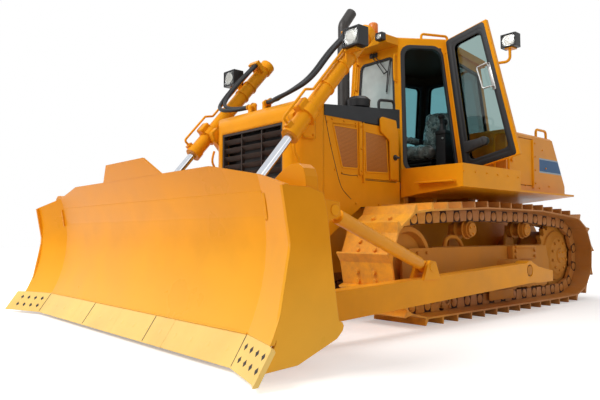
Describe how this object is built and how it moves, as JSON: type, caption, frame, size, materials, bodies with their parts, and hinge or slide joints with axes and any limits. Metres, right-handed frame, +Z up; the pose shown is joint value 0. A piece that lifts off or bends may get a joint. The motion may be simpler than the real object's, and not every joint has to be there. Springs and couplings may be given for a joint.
{
  "type": "crawler bulldozer",
  "caption": "Tracked bulldozer with a lifting front blade, engine hood, six-sided glazed cab and rear tank; blade, lift cylinders and doors move.",
  "frame": {"origin": "on the ground below the middle of the machine's box", "axes": "+X forward, +Y to the machine's left, +Z up"},
  "size_m": [5.803, 4.02, 3.1503],
  "materials": {
    "yellow_paint": "satin yellow paint, dusty",
    "black_paint": "satin black paint",
    "track_steel": "yellow paint worn through, with dry soil",
    "frame_paint": "yellow paint under dry soil",
    "cast_dark": "dark cast iron",
    "rod_chrome": "polished rod",
    "stack_steel": "heat-darkened steel",
    "glazing": "clear glass",
    "seat_cloth": "dark cloth",
    "console_plastic": "matte plastic",
    "hose_rubber": "hydraulic hose",
    "lamp_housing": "lamp housing"
  },
  "bodies": {
    "machine": {"track_left": "track_steel", "track_frame_left": "frame_paint", "rollers_left": "track_steel", "final_drive_left": "frame_paint", "track_right": "track_steel", "track_frame_right": "frame_paint", "rollers_right": "track_steel", "final_drive_right": "frame_paint", "main_frame": "yellow_paint", "engine": "cast_dark", "radiator": "cast_dark", "nose": "yellow_paint", "grille": "black_paint", "hood_top": "black_paint", "side_panels": "yellow_paint", "platform": "yellow_paint", "cab_shell": "yellow_paint", "cab_glass": "glazing", "cab_roof": "yellow_paint", "seat": "seat_cloth", "consoles": "console_plastic", "rear_tank": "yellow_paint", "drawbar": "yellow_paint", "exhaust_stack": "stack_steel", "pre_cleaner": "black_paint", "hood_rails": "black_paint", "handrails": "yellow_paint", "cab_lamps": "lamp_housing"},
    "blade_group": {"blade": "yellow_paint", "cutting_edge": "yellow_paint", "push_arm_left": "yellow_paint", "push_arm_right": "yellow_paint", "brace_left": "yellow_paint", "brace_right": "yellow_paint"},
    "lift_barrel_left_body": {"lift_barrel_left": "yellow_paint", "barrel_lamp_left": "lamp_housing", "hose_inner_left": "hose_rubber", "hose_outer_left": "hose_rubber"},
    "lift_barrel_right_body": {"lift_barrel_right": "yellow_paint", "barrel_lamp_right": "lamp_housing", "hose_inner_right": "hose_rubber", "hose_outer_right": "hose_rubber"},
    "lift_rod_left_body": {"lift_rod_left": "rod_chrome"},
    "lift_rod_right_body": {"lift_rod_right": "rod_chrome"},
    "engine_door_left_body": {"engine_door_left": "yellow_paint"},
    "engine_door_right_body": {"engine_door_right": "yellow_paint"},
    "cab_door_left_body": {"cab_door_left": "yellow_paint", "cab_door_glass_left": "glazing"},
    "cab_door_right_body": {"cab_door_right": "yellow_paint", "cab_door_glass_right": "glazing"},
    "tank_door_body": {"tank_door": "yellow_paint"}
  },
  "joints": [
    {"name": "blade_lift", "type": "hinge", "parent": "machine", "child": "blade_group", "pos_m": [-0.9085, 0, 0.408], "axis": [0, -1, 0], "range_deg": [-7, 15]},
    {"name": "lift_barrel_left_swing", "type": "hinge", "parent": "machine", "child": "lift_barrel_left_body", "pos_m": [1.3885, 0.73, 1.75], "axis": [0, -1, 0], "range_deg": [-12.44, 25.98], "deforming": ["hose_inner_left", "hose_outer_left"]},
    {"name": "lift_rod_left_slide", "type": "slide", "parent": "lift_barrel_left_body", "child": "lift_rod_left_body", "axis": [0.6601, 0, -0.7512], "range_m": [-0.649, 0.308]},
    {"name": "lift_barrel_right_swing", "type": "hinge", "parent": "machine", "child": "lift_barrel_right_body", "pos_m": [1.3885, -0.73, 1.75], "axis": [0, -1, 0], "range_deg": [-12.44, 25.98], "deforming": ["hose_inner_right", "hose_outer_right"]},
    {"name": "lift_rod_right_slide", "type": "slide", "parent": "lift_barrel_right_body", "child": "lift_rod_right_body", "axis": [0.6601, 0, -0.7512], "range_m": [-0.649, 0.308]},
    {"name": "engine_door_left_hinge", "type": "hinge", "parent": "machine", "child": "engine_door_left_body", "pos_m": [0.5705, 0.6087, 1.5], "axis": [0, 0, 1], "range_deg": [-110, 0]},
    {"name": "engine_door_right_hinge", "type": "hinge", "parent": "machine", "child": "engine_door_right_body", "pos_m": [0.5705, -0.6087, 1.5], "axis": [0, 0, 1], "range_deg": [0, 110]},
    {"name": "cab_door_left_hinge", "type": "hinge", "parent": "machine", "child": "cab_door_left_body", "pos_m": [-0.80668, 0.77641, 1.42], "axis": [0.0451, -0.109, 0.993], "range_deg": [-125, 0]},
    {"name": "cab_door_right_hinge", "type": "hinge", "parent": "machine", "child": "cab_door_right_body", "pos_m": [-0.80668, -0.77641, 1.42], "axis": [0.0451, 0.109, 0.993], "range_deg": [-125, 0]},
    {"name": "tank_door_hinge", "type": "hinge", "parent": "machine", "child": "tank_door_body", "pos_m": [-1.5595, 1.154, 1.54], "axis": [0, 0, 1], "range_deg": [0, 110]}
  ],
  "couplings": [
    {"joint": "lift_barrel_left_swing", "follows": "blade_lift", "ratio": 1.692},
    {"joint": "lift_rod_left_slide", "follows": "blade_lift", "m_per_rad": -2.44},
    {"joint": "lift_barrel_right_swing", "follows": "blade_lift", "ratio": 1.692},
    {"joint": "lift_rod_right_slide", "follows": "blade_lift", "m_per_rad": -2.44}
  ]
}
